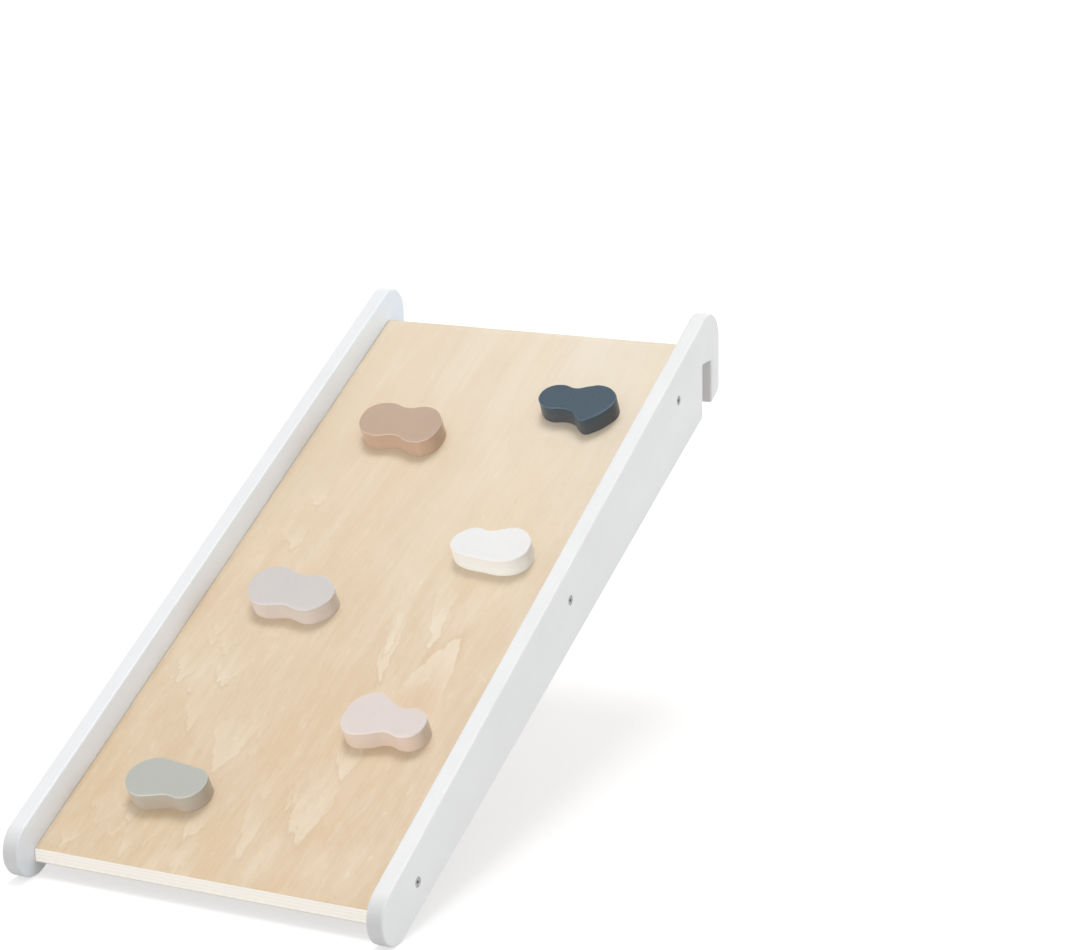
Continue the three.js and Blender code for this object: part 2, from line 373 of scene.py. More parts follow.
def side_board(side):
    outer = side * ramp_width / 2
    inner = side * (ramp_width / 2 - board_thickness)
    low_x, high_x = min(outer, inner), max(outer, inner)
    across = Vector((1, 0, 0))
    round_ends = [
        rod(Vector((low_x, *centre.yz)), across, foot_radius, board_thickness, outline_vertices)
        for centre in (foot_centre, top_centre)
    ]
    toe = block((low_x, slot_front - toe_thickness, toe_height), (high_x, slot_front, ledge_height))
    leg = block((low_x, slot_back, leg_end_height), (high_x, hook_back, ledge_height))
    board = joined([*round_ends, toe, leg])
    bpy.ops.object.mode_set(mode="EDIT")
    bpy.ops.mesh.select_all(action="SELECT")
    bpy.ops.mesh.convex_hull(join_triangles=True)
    bpy.ops.mesh.select_all(action="SELECT")
    bpy.ops.mesh.dissolve_limited(angle_limit=flat_angle)
    finish_edit()
    slot_low = (low_x - overrun, slot_front, slot_saw_start)
    slot_high = (high_x + overrun, slot_back, ledge_height)
    take_away(board, [block(slot_low, slot_high)])
    for along, height, radius, angle in hook_corners:
        corner = Vector((0, along, height))
        pick(board, "EDGE", lambda start, end: lies_at(start, end, corner, corner_reach))
        offset = radius / math.tan(math.radians(angle / 2))
        bpy.ops.mesh.bevel(offset=offset, segments=corner_segments, profile=0.5, affect="EDGES")
        finish_edit()
    soften(board, edge_rounding, edge_segments)
    seats = []
    for place, inward in side_screw_places(side):
        outside = place - inward * overrun
        seats.append(rod(outside, inward, seat_radius, overrun + seat_depth))
        seats.append(rod(outside, inward, clearance_radius, overrun + clearance_depth))
    take_away(board, seats)
    return board


for side, side_name in ((-1, "left"), (1, "right")):
    call(
        side_board(side),
        f"board_{side_name}",
        white_lacquer,
        f"side_board_{side_name}",
    )

# Side screws
# Zinc-plated screws with a countersunk head and a hexagon socket, three to a side, driven through
# the boards into the edges of the deck until the heads lie just below the white surface.
side_screw_size = {
    "head": 0.006,
    "head_height": 0.0024,
    "cone_height": 0.0032,
    "shank": 0.0025,
    "length": 0.05,
    "tip_height": 0.004,
    "tip": 0.0009,
    "socket_across": 0.004,
    "socket_depth": 0.0034,
    "edge_break": 0.0004,
}
head_vertices = 64
socket_lead = 0.001
turned_sharp_angle = math.radians(32)
level = 1e-6


def zinc():
    """Dull zinc plating, darker and smoother in some spots than in others."""
    material, tree, shader = start_material("zinc_plating", Metallic=0.8)
    wear = noise(tree, put(tree, "ShaderNodeTexCoord").outputs["Object"], 700.0, 4.0, 0.6)
    bright = ramp(tree, wear, 0.3, 0.75)
    feed(
        shader,
        {
            "Base Color": blend_colors(tree, bright, (0.30, 0.30, 0.305, 1), (0.58, 0.58, 0.59, 1)),
            "Roughness": ramp(tree, wear, 0.3, 0.7, 0.34, 0.5),
        },
    )
    return material


zinc_plating = zinc()


def turned(top, radius, height, steps, vertices=48):
    """A bar down the Z axis, drawn out below its first height in steps of a height and a radius."""
    bar = rod(Vector((0, 0, top)), Vector((0, 0, -1)), radius, height, vertices)
    pick(bar, "FACE", lambda centre, normal: normal.z < -0.99)
    reach = top - height
    for step_height, step_radius in steps:
        bpy.ops.mesh.extrude_region_move(TRANSFORM_OT_translate={"value": (0, 0, -step_height)})
        reach -= step_height
        shrink = step_radius / radius
        bpy.ops.transform.resize(value=(shrink, shrink, 1), center_override=(0, 0, reach))
        radius = step_radius
    finish_edit()
    return bar


def turned_screw(size):
    """One screw, its head's face at the origin and its tip down the Z axis."""
    shank_length = size["length"] - size["head_height"] - size["cone_height"] - size["tip_height"]
    steps = [
        (size["cone_height"], size["shank"]),
        (shank_length, size["shank"]),
        (size["tip_height"], size["tip"]),
    ]
    screw = turned(0, size["head"], size["head_height"], steps, head_vertices)

    def on_rim(start, end):
        return abs(start.z) < level and abs(end.z) < level

    pick(screw, "EDGE", on_rim)
    bpy.ops.mesh.bevel(offset=size["edge_break"], segments=3, affect="EDGES")
    finish_edit()
    socket_radius = size["socket_across"] / math.sqrt(3)
    socket_top = Vector((0, 0, socket_lead))
    socket_length = socket_lead + size["socket_depth"]
    socket = rod(socket_top, Vector((0, 0, -1)), socket_radius, socket_length, 6)
    take_away(screw, [socket])
    choose(screw)
    bpy.ops.object.shade_smooth_by_angle(angle=turned_sharp_angle)
    return screw


def driven(pattern, place, inward):
    """A copy of a screw or its bore with its own mesh, its head at a place and its tip inward."""
    copied = pattern.copy()
    copied.data = pattern.data.copy()
    bpy.context.collection.objects.link(copied)
    turn = (-inward).to_track_quat("Z", "Y").to_matrix().to_4x4()
    copied.matrix_world = Matrix.Translation(place) @ turn
    settle(copied)
    return copied


side_screw_pattern = turned_screw(side_screw_size)
for side, side_name in ((-1, "left"), (1, "right")):
    for number, (place, inward) in enumerate(side_screw_places(side), 1):
        call(
            driven(side_screw_pattern, place, inward),
            f"screw_{side_name}_{number}",
            zinc_plating,
            f"side_screw_{side_name}_{number}",
        )
bpy.data.objects.remove(side_screw_pattern)

# Deck
# A plywood panel with birch veneer on both faces, its grain running up the slope. The ends are
# cut plumb, so the plies show there, and their upper arrises are rounded. The other arrises are
# only just broken with sandpaper.
deck_thickness = 0.015
deck_half_width = 0.2284
deck_break = 0.0005
deck_break_segments = 2
deck_end_rounding = 0.002
deck_end_segments = 4
deck_end_waste = 0.05
deck_end = deck_start + up_slope * deck_length
arris_reach = 0.0001
veneer_flatness = 0.8


def deck_cut():
    middle = (deck_start + deck_end) / 2 - off_slope * deck_thickness / 2
    half = Vector((deck_half_width, deck_length / 2 + deck_end_waste, deck_thickness / 2))
    deck = block(middle - half, middle + half, slope)
    for place, outward in ((deck_start, -1), (deck_end, 1)):
        pick(deck, "FACE", lambda centre, normal: True)
        bpy.ops.mesh.bisect(plane_co=place, plane_no=(0, outward, 0), use_fill=True, clear_outer=True)
        finish_edit()

        def on_end_arris(start, end):
            runs_across = abs(start.x - end.x) > deck_half_width
            return runs_across and lies_at(start, end, place, arris_reach)

        pick(deck, "EDGE", on_end_arris)
        bpy.ops.mesh.bevel(
            offset=deck_end_rounding,
            segments=deck_end_segments,
            profile=0.5,
            affect="EDGES",
        )
        finish_edit()
    return deck


hold_screw_size = {
    "head": 0.0046,
    "head_height": 0.0006,
    "cone_height": 0.0026,
    "shank": 0.0023,
    "length": 0.035,
    "tip_height": 0.0045,
    "tip": 0.0006,
    "socket_across": 0.0028,
    "socket_depth": 0.002,
    "edge_break": 0.0002,
}
hold_screw_share = 0.46
hold_screw_recess = 0.0003
mouth_lead = 0.002
drill_clearance = 0.0003
hold_table = {
    # length, width, place across in metres and up the deck in shares of its length, colour of the
    # top and of the sides, the sides' colour holding painted light and shade, and the outline in
    # shares of half the length and half the width
    "rose": (
        0.120, 0.072, -0.0955, 0.764,
        (0.475, 0.338, 0.25), (0.53, 0.375, 0.275),
        [
            (-1.0, 0.16), (-0.9, 0.71), (-0.5, 1.0), (0.0, 0.82), (0.46, 0.98), (0.82, 0.66),
            (1.0, -0.1), (0.82, -0.86), (0.5, -0.99), (0.06, -0.71), (-0.48, -0.84), (-0.86, -0.5),
        ],
    ),
    "navy": (
        0.108, 0.072, 0.1293, 0.838,
        (0.019, 0.051, 0.082), (0.066, 0.077, 0.088),
        [
            (-1.0, 0.13), (-0.88, 0.64), (-0.55, 0.84), (-0.15, 0.72), (0.14, 0.89), (0.42, 1.0),
            (0.82, 0.76), (1.0, 0.23), (0.85, -0.4), (0.58, -0.86), (0.42, -0.99), (0.24, -0.84),
            (0.02, -0.53), (-0.25, -0.44), (-0.6, -0.49), (-0.88, -0.25),
        ],
    ),
    "white": (
        0.106, 0.062, 0.1261, 0.562,
        (0.765, 0.763, 0.758), (0.85, 0.865, 0.86),
        [
            (-1.0, -0.12), (-0.88, 0.4), (-0.56, 0.75), (-0.2, 0.66), (0.12, 0.85), (0.42, 1.0),
            (0.82, 0.68), (1.0, 0.0), (0.85, -0.68), (0.45, -0.99), (-0.1, -0.94), (-0.6, -0.83),
            (-0.9, -0.56),
        ],
    ),
    "lilac": (
        0.121, 0.070, -0.0982, 0.4415,
        (0.582, 0.551, 0.533), (0.665, 0.588, 0.545),
        [
            (-1.0, 0.08), (-0.88, 0.65), (-0.5, 0.99), (-0.12, 0.8), (0.14, 0.7), (0.5, 0.79),
            (0.86, 0.44), (1.0, -0.06), (0.87, -0.66), (0.56, -1.0), (0.05, -0.85), (-0.48, -0.98),
            (-0.78, -0.76), (-0.93, -0.32),
        ],
    ),
    "pink": (
        0.107, 0.069, 0.1213, 0.2585,
        (0.676, 0.598, 0.565), (0.69, 0.572, 0.488),
        [
            (-1.0, 0.0), (-0.86, 0.66), (-0.44, 1.0), (-0.1, 0.74), (0.25, 0.49), (0.62, 0.54),
            (0.91, 0.3), (1.0, -0.12), (0.87, -0.64), (0.56, -0.82), (0.15, -0.69), (-0.25, -0.91),
            (-0.62, -1.0), (-0.9, -0.74),
        ],
    ),
    "sage": (
        0.105, 0.062, -0.1016, 0.1127,
        (0.436, 0.448, 0.406), (0.462, 0.404, 0.338),
        [
            (-1.0, -0.06), (-0.88, 0.56), (-0.45, 0.99), (0.0, 0.92), (0.45, 0.83), (0.86, 0.64),
            (1.0, 0.15), (0.9, -0.44), (0.6, -0.77), (0.22, -0.72), (-0.12, -0.87), (-0.45, -0.99),
            (-0.82, -0.7),
        ],
    ),
}


def hold_place(name):
    across, along = hold_table[name][2:4]
    return deck_start + up_slope * along * deck_length + Vector((across, 0, 0))


def hold_screw_places(name):
    """Where the two screws of a hold start, just inside the deck's underside."""
    length = hold_table[name][0]
    for share in (-hold_screw_share, hold_screw_share):
        under = off_slope * (deck_thickness - hold_screw_recess)
        yield hold_place(name) + Vector((share * length / 2, 0, 0)) - under, off_slope


def screw_hole(size, place, inward):
    """The straight hole that a screw's shank runs in, as a cutter."""
    return rod(place, inward, size["shank"] + drill_clearance, size["length"] + 2 * drill_clearance)


def countersunk_bore(size):
    """The bored and countersunk space for a screw, as one cutter that lies as turned_screw does."""
    shank_radius = size["shank"] + drill_clearance
    shank_length = size["length"] - size["head_height"] - size["cone_height"] + drill_clearance
    steps = [(size["cone_height"], shank_radius), (shank_length, shank_radius)]
    mouth_height = mouth_lead + size["head_height"]
    return turned(mouth_lead, size["head"] + drill_clearance, mouth_height, steps)


# Veneer grain, for the deck's faces. The knife cut the rings flat, so they show as tongues of paler
# and darker wood that point up or down the slope, with thin dark edges, over soft streaks that run
# its whole length. X is across and Y up the slope; Calm goes to 1 towards the top.
grain, grain_in, grain_out = start_group(
    "veneer_grain",
    {
        "Vector": ("NodeSocketVector", None),
        "Calm": ("NodeSocketFloat", 0.0),
        "Pale": ("NodeSocketColor", (0.8, 0.7, 0.5, 1)),
        "Warm": ("NodeSocketColor", (0.75, 0.6, 0.4, 1)),
        "Blush": ("NodeSocketColor", (1.0, 0.95, 0.9, 1)),
        "Line": ("NodeSocketColor", (0.6, 0.45, 0.3, 1)),
    },
    {"Color": "NodeSocketColor", "Height": "NodeSocketFloat"},
)


def chained(tree, operation, total, *values):
    """Takes value after value into a total, all by one operation."""
    for value in values:
        total = maths(tree, operation, total, value)
    return total


def stretched_noise(tree, vector, across, along, detail=2.0, roughness=0.5):
    """Noise with its own number of lumps a metre across and along the grain."""
    scaled = put(tree, "ShaderNodeMapping", {"Vector": vector, "Scale": (across, along, across)})
    return noise(tree, scaled.outputs["Vector"], 1.0, detail, roughness)


tongue_table = [
    # tip across the deck and up from its foot, half width and length in mm, where a minus length
    # points up, then lean, tone, where minus is paler, and how dark the edge is
    (87, 66, 39, 128, -0.17, -0.46, 0.38),
    (50, 115, 14, 60, -0.14, -0.38, 0.34),
    (93, 175, 25, 64, -0.2, -0.38, 0.42),
    (52, 107, 30, -106, -0.18, -0.28, 0.0),
    (26, 33, 23, 142, -0.1, -0.34, 0.22),
    (43, 175, 13, -63, -0.02, 0.39, 0.0),
    (104, 110, 7, -30, -0.04, 0.35, 0.0),
    (120, 147, 7, -66, 0.0, 0.28, 0.0),
    (124, 81, 7, 66, 0.04, -0.28, 0.18),
    (137, 105, 8, 114, 0.11, -0.31, 0.18),
    (184, 157, 7, 45, 0.05, -0.28, 0.2),
    (144, 2, 5, 50, 0.03, -0.28, 0.26),
    (116, 20, 25, 64, 0.1, -0.23, 0.0),
    (115, 459, 21, 66, -0.14, 0.57, 0.0),
    (112, 387, 17, 134, -0.2, -0.61, 0.32),
    (133, 427, 31, 106, 0.14, -0.48, 0.0),
    (112, 365, 5, 36, 0.06, 0.69, 0.0),
    (137, 417, 34, -106, 0.08, -0.74, 0.36),
    (157, 355, 13, 90, -0.1, 0.48, 0.0),
    (71, 321, 16, 156, -0.2, -0.63, 0.42),
    (58, 375, 12, 100, -0.16, -0.46, 0.3),
    (40, 459, 13, -94, -0.02, 0.39, 0.2),
    (82, 387, 12, 100, -0.21, 0.46, 0.0),
    (40, 463, 29, 76, -0.05, -0.39, 0.0),
    (9, 404, 1.3, 26, 0.0, 0.83, 0.9),
    (-53, 43, 18, 62, 0.16, -0.4, 0.42),
    (-97, 25, 11, 48, 0.1, -0.42, 0.36),
    (-45, 3, 14, 46, 0.1, -0.32, 0.16),
    (-66, 158, 37, 98, -0.1, -0.37, 0.3),
    (-36, 214, 8, 42, -0.2, -0.24, 0.3),
    (-35, 178, 7, 42, -0.1, -0.21, 0.3),
    (14, 126, 10, 74, -0.06, -0.27, 0.24),
    (-9, 106, 5, 62, -0.04, -0.19, 0.26),
    (-127, 284, 23, 52, -0.1, -0.39, 0.55),
    (-187, 280, 20, 54, -0.1, -0.44, 0.38),
    (-165, 272, 9, 18, 0.0, -0.21, 0.60),
    (-132, 211, 16, 52, -0.3, -0.38, 0.41),
    (-151, 95, 10, -17, 0.0, 0.52, 0.0),
    (-133, 59, 16, 46, -0.2, -0.38, 0.55),
    (-190, 65, 10, 22, 0.0, -0.27, 0.48),
    (-167, 50, 15, 28, -0.2, -0.31, 0.48),
    (-150, 26, 14, 32, 0.1, -0.27, 0.41),
    (-118, 17, 12, 32, -0.2, -0.31, 0.36),
    (-195, 11, 20, 42, 0.0, -0.34, 0.29),
    (-183, 236, 6, 18, 0.0, -0.21, 0.41),
    (-175, 372, 14, 26, -0.4, -0.27, 0.43),
    (-174, 349, 13, 32, -0.3, -0.34, 0.38),
    (-152, 337, 14, 32, -0.2, -0.27, 0.36),
    (-110, 365, 8, 38, 0.5, -0.21, 0.29),
    (-155, 610, 18, 46, -0.25, -0.47, 0.19),
    (-149, 527, 20, 56, -0.3, -0.52, 0.24),
    (-168, 596, 7, 14, 0.0, -0.18, 0.36),
    (-63, 497, 1.4, 132, 0.14, 0.27, 0.35),
    (-177, 834, 20, 164, 0.14, -0.4, 0.0),
    (88, 903, 18, 124, 0.02, -0.51, 0.0),
]
foot_of_grain = -0.387

# One tongue. It adds its share to the wood's tone, strongest at the tip and gone at the far end,
# and keeps the darkest edge line so far. Its place leans on the tone before it by a billionth, so
# that the renderer works through the tongues one by one and needs little room for them.
tongue, tongue_in, tongue_out = start_group(
    "grain_tongue",
    {
        "X": ("NodeSocketFloat", 0.0),
        "Y": ("NodeSocketFloat", 0.0),
        "Tone": ("NodeSocketFloat", 0.0),
        "Line": ("NodeSocketFloat", 0.0),
        "Tip X": ("NodeSocketFloat", 0.0),
        "Tip Y": ("NodeSocketFloat", 0.0),
        "Half Width": ("NodeSocketFloat", 0.02),
        "Length": ("NodeSocketFloat", 0.1),
        "Lean": ("NodeSocketFloat", 0.0),
        "Strength": ("NodeSocketFloat", 0.0),
        "Darkness": ("NodeSocketFloat", 0.0),
        "Softness": ("NodeSocketFloat", 0.1),
    },
    {"Tone": "NodeSocketFloat", "Line": "NodeSocketFloat"},
)
given = tongue_in.outputs
from_tip = maths(tongue, "MULTIPLY_ADD", given["Tone"], 1e-9, given["Y"])
from_tip = maths(tongue, "SUBTRACT", from_tip, given["Tip Y"])
tongue_axis = maths(tongue, "MULTIPLY_ADD", from_tip, given["Lean"], given["Tip X"])
off_axis = maths(tongue, "SUBTRACT", given["X"], tongue_axis)
off_axis = maths(tongue, "ABSOLUTE", maths(tongue, "DIVIDE", off_axis, given["Half Width"]))
from_tip = maths(tongue, "DIVIDE", from_tip, given["Length"])
outside = maths(tongue, "SUBTRACT", maths(tongue, "POWER", off_axis, 1.6), from_tip)
inside = maths(tongue, "DIVIDE", maths(tongue, "MULTIPLY", outside, -1.0), given["Softness"])
inside = ramp(tongue, inside, 0.0, 1.0)
share = maths(tongue, "MULTIPLY", inside, ramp(tongue, from_tip, 0.3, 1.0, 1.0, 0.0))
edge_line = chained(
    tongue,
    "MULTIPLY",
    maths(tongue, "POWER", ramp(tongue, outside, 0.0, 0.25, 1.0, 0.0), 2.0),
    maths(tongue, "SUBTRACT", 1.0, inside),
    ramp(tongue, from_tip, 0.0, 0.9, given["Darkness"], 0.0),
    ramp(tongue, from_tip, -0.25, 0.0),
)
feed(
    tongue_out,
    {
        "Tone": maths(tongue, "MULTIPLY_ADD", share, given["Strength"], given["Tone"]),
        "Line": maths(tongue, "MAXIMUM", edge_line, given["Line"]),
    },
)

grain_vector = grain_in.outputs["Vector"]
calm = grain_in.outputs["Calm"]
lively = ramp(grain, calm, 0.0, 1.0, 0.8, 0.85)
grain_parts = put(grain, "ShaderNodeSeparateXYZ", {"Vector": grain_vector})
across_grain, along_grain = grain_parts.outputs["X"], grain_parts.outputs["Y"]
lean = maths(grain, "MULTIPLY", along_grain, -0.055)
sway = ramp(grain, stretched_noise(grain, grain_vector, 4.0, 2.2), 0.3, 0.7, -0.014, 0.014)
swayed = chained(grain, "ADD", across_grain, sway, lean)
fibre_vector = put(grain, "ShaderNodeCombineXYZ", {"X": swayed, "Y": along_grain}).outputs["Vector"]

# The tongues' outlines are a little ragged. Those without an edge line fade out softly.
ragged = ramp(grain, stretched_noise(grain, grain_vector, 80.0, 22.0), 0.3, 0.7, -0.012, 0.012)
wobble = ramp(grain, stretched_noise(grain, grain_vector, 60.0, 45.0), 0.3, 0.7, -0.003, 0.003)
ragged_x = maths(grain, "ADD", across_grain, wobble)
ragged_y = maths(grain, "ADD", along_grain, ragged)
tongue_tone, tongue_line = 0.0, 0.0
for tip_x, tip_y, half_width, length, tilt, strength, darkness in tongue_table:
    shape = put(
        grain,
        "ShaderNodeGroup",
        {
            "X": ragged_x,
            "Y": ragged_y,
            "Tone": tongue_tone,
            "Line": tongue_line,
            "Tip X": tip_x / 1000,
            "Tip Y": foot_of_grain + tip_y / 1000,
            "Half Width": half_width / 1000,
            "Length": length / 1000,
            "Lean": tilt,
            "Strength": strength,
            "Darkness": darkness,
            "Softness": 0.06 if darkness else 0.4,
        },
        node_tree=tongue,
    )
    tongue_tone, tongue_line = shape.outputs["Tone"], shape.outputs["Line"]

# The streaks, ticks and clouds between them, from wide to fine, and how much each counts for.
patches = ramp(grain, stretched_noise(grain, fibre_vector, 11.0, 2.6), 0.36, 0.64)
wide_streaks = ramp(grain, stretched_noise(grain, fibre_vector, 26.0, 1.3), 0.34, 0.66)
wide_share = ramp(grain, calm, 0.3, 1.0, 0.2, 0.42)
narrow_streaks = ramp(grain, stretched_noise(grain, fibre_vector, 95.0, 2.6, 3.0, 0.6), 0.32, 0.68)
fine_streaks = ramp(grain, stretched_noise(grain, fibre_vector, 420.0, 9.0, 3.0, 0.7), 0.3, 0.75)
flecks = ramp(grain, stretched_noise(grain, grain_vector, 520.0, 46.0, 1.0), 0.74, 0.84)
ticks = ramp(grain, stretched_noise(grain, grain_vector, 150.0, 55.0, 3.0, 0.65), 0.28, 0.72, -1.0, 1.0)
tick_share = ramp(grain, calm, 0.3, 1.0, 0.45, 0.14)
mottle = ramp(grain, stretched_noise(grain, grain_vector, 24.0, 11.0, 3.0, 0.58), 0.34, 0.66, -1.0, 1.0)
mottle_share = ramp(grain, calm, 0.0, 1.0, 0.2, 0.1)
figure = ramp(grain, stretched_noise(grain, fibre_vector, 52.0, 15.0, 4.0, 0.62), 0.5, 0.66)
figure_share = ramp(grain, calm, 0.25, 0.75, 1.0, 0.25)
# Painted light: the wood turns paler towards the top right, lifting the shade that the right board casts
# there.
painted_light_right = ramp(grain, across_grain, -0.1, 0.2)
painted_light_top = ramp(grain, calm, 0.5, 1.0)
tone = chained(
    grain,
    "ADD",
    maths(grain, "MULTIPLY", wide_streaks, wide_share),
    chained(grain, "MULTIPLY", narrow_streaks, 0.3, lively),
    chained(grain, "MULTIPLY", fine_streaks, 0.36, lively),
    chained(grain, "MULTIPLY", ticks, ticks, ticks, tick_share),
    maths(grain, "MULTIPLY", mottle, mottle_share),
    chained(grain, "MULTIPLY", figure, figure_share, -0.22),
    chained(grain, "MULTIPLY", painted_light_right, painted_light_top, -1.0),
    tongue_tone,
    ramp(grain, calm, 0.3, 1.0, 0.44, 0.33),
)
warmed = blend_colors(grain, tone, grain_in.outputs["Pale"], grain_in.outputs["Warm"])
patch_share = maths(grain, "MULTIPLY", patches, 0.5)
blushed = blend_colors(grain, patch_share, warmed, grain_in.outputs["Blush"], "MULTIPLY")
lined = blend_colors(grain, tongue_line, blushed, grain_in.outputs["Line"])
fleck_share = chained(grain, "MULTIPLY", flecks, 0.3, lively)
flecked = blend_colors(grain, fleck_share, lined, grain_in.outputs["Line"])
feed(grain_out, {"Color": flecked, "Height": fine_streaks})


def laid_flat(tree):
    """The place with X across, Y up the slope and Z out from it, as a vector and in its parts."""
    place = put(tree, "ShaderNodeTexCoord").outputs["Object"]
    laid = put(tree, "ShaderNodeMapping", {"Vector": place, "Rotation": (-slope, 0, 0)}).outputs["Vector"]
    return laid, put(tree, "ShaderNodeSeparateXYZ", {"Vector": laid}).outputs


def birch():
    """Clear-lacquered birch veneer, paler towards the top and warmer towards the foot."""
    material, tree, shader = start_material("birch_veneer")
    laid, parts = laid_flat(tree)
    height = ramp(tree, parts["Y"], -0.25, 0.6)
    veneer = put(
        tree,
        "ShaderNodeGroup",
        {
            "Vector": laid,
            "Calm": height,
            "Pale": blend_colors(tree, height, (0.715, 0.615, 0.48, 1), (0.775, 0.693, 0.56, 1)),
            "Warm": blend_colors(tree, height, (0.63, 0.481, 0.312, 1), (0.721, 0.604, 0.457, 1)),
            "Blush": (1.005, 0.955, 0.9, 1),
            "Line": (0.56, 0.40, 0.25, 1),
        },
        node_tree=grain,
    )
    fibres = veneer.outputs["Height"]
    bump = put(tree, "ShaderNodeBump", {"Height": fibres, "Strength": 0.04, "Distance": 0.0003})
    feed(
        shader,
        {
            "Base Color": veneer.outputs["Color"],
            "Roughness": ramp(tree, fibres, 0.0, 1.6, 0.48, 0.6),
            "Normal": bump.outputs["Normal"],
        },
    )
    return material


ply_thickness = 0.0019
shade_line_start = 0.0014
shade_line_end = 0.0004


def plies():
    """The sawn ends: thin plies of end grain and long grain in turn, with a painted shade line along the
    lower arris.
    """
    material, tree, shader = start_material("ply_edge", Roughness=0.7)
    laid, parts = laid_flat(tree)
    wander = stretched_noise(tree, laid, 20.0, 20.0, 3.0)
    depth = maths(tree, "MULTIPLY", parts["Z"], 1 / ply_thickness)
    depth = maths(tree, "ADD", depth, maths(tree, "MULTIPLY", wander, 0.7))
    layer = maths(tree, "PINGPONG", depth, 1.0)
    end_grain = ramp(tree, layer, 0.4, 0.75)
    speckle = stretched_noise(tree, laid, 1500.0, 1500.0, 2.0, 0.7)
    streak = stretched_noise(tree, laid, 90.0, 90.0, 3.0, 0.7)
    pale = blend_colors(tree, streak, (0.86, 0.828, 0.774, 1), (0.825, 0.79, 0.733, 1))
    dark = blend_colors(tree, speckle, (0.835, 0.80, 0.74, 1), (0.785, 0.742, 0.675, 1))
    color = blend_colors(tree, end_grain, pale, dark)
    # Painted shade: the plies darken to a dark line along the lower arris.
    underside = deck_start.dot(off_slope) - deck_thickness
    painted_shade_line = ramp(tree, parts["Z"], underside + shade_line_end, underside + shade_line_start, 1.0, 0.0)
    bump = put(tree, "ShaderNodeBump", {"Height": layer, "Strength": 0.15, "Distance": 0.0003})
    feed(
        shader,
        {
            "Base Color": blend_colors(tree, painted_shade_line, color, (0.5, 0.465, 0.405, 1)),
            "Normal": bump.outputs["Normal"],
        },
    )
    return material


deck = deck_cut()
soften(deck, deck_break, deck_break_segments)
bore_pattern = countersunk_bore(hold_screw_size)
bores = []
for hold_name in hold_table:
    for place, inward in hold_screw_places(hold_name):
        bores.append(driven(bore_pattern, place, inward))
for side in (-1, 1):
    for place, inward in side_screw_places(side):
        bores.append(screw_hole(side_screw_size, place, inward))
take_away(deck, bores)
bpy.data.objects.remove(bore_pattern)
call(deck, "deck", birch(), "deck_panel")
deck.data.materials.append(plies())
for face in deck.data.polygons:
    face.material_index = 0 if abs(face.normal.dot(off_slope)) > veneer_flatness else 1

# Holds
# Six waisted blocks of solid wood, cut on a bandsaw, rounded over round the top and sprayed in
# satin colours. Each lies flat on the deck and is screwed on from below.
hold_thickness = 0.0252
hold_rounding = 0.0016
hold_rounding_segments = 5
hold_break = 0.0004
hold_break_segments = 2
hold_seat = 0.0001
weld_reach = 0.00005
painted_side_depth = 0.018
painted_rim_highlight = 0.32
cloud_tone = 0.965


def near(tree, value, middle, reach, fade):
    """One where a value is within reach of a middle, fading to nothing beyond it."""
    away = maths(tree, "ABSOLUTE", maths(tree, "SUBTRACT", value, middle))
    return ramp(tree, away, reach, reach + fade, 1.0, 0.0)


def hold_paint(name, top_color, painted_side_light):
    """Satin paint whose sides carry painted light and shade, warmed as by the deck's bounce, with a
    painted highlight at the rim.
    """
    clouded = [cloud_tone * part for part in top_color]
    paint = sprayed(f"{name}_paint", top_color, clouded, roughness=0.3, peel_strength=0.03)
    tree = paint.node_tree
    coat = [node for node in tree.nodes if node.type == "GROUP"][0]
    height = laid_flat(tree)[1]["Z"]
    top = deck_start.dot(off_slope) + hold_thickness
    rim = top - 0.5 * hold_rounding
    # Painted light and shade on the sides: the side colour stands in for the deck's warm bounce and each
    # side's lit or shaded tone, fading out towards the rim.
    down = ramp(tree, height, top - painted_side_depth, rim, 1.0, 0.3)
    on_side = ramp(tree, height, top - hold_rounding, top - 0.2 * hold_rounding, 1.0, 0.0)
    # A painted highlight: a pale band along the rim, standing in for the gloss that the rounding catches.
    on_rim = near(tree, height, rim, 0.2 * hold_rounding, 0.3 * hold_rounding)
    side_share = maths(tree, "MULTIPLY", down, on_side)
    color = blend_colors(tree, side_share, coat.outputs["Color"], (*painted_side_light, 1))
    rim_highlight_color = [part + (1 - part) * painted_rim_highlight * math.sqrt(2 * part) for part in top_color]
    color = blend_colors(tree, on_rim, color, (*rim_highlight_color, 1))
    feed(tree.nodes["Principled BSDF"], {"Base Color": color})
    return paint


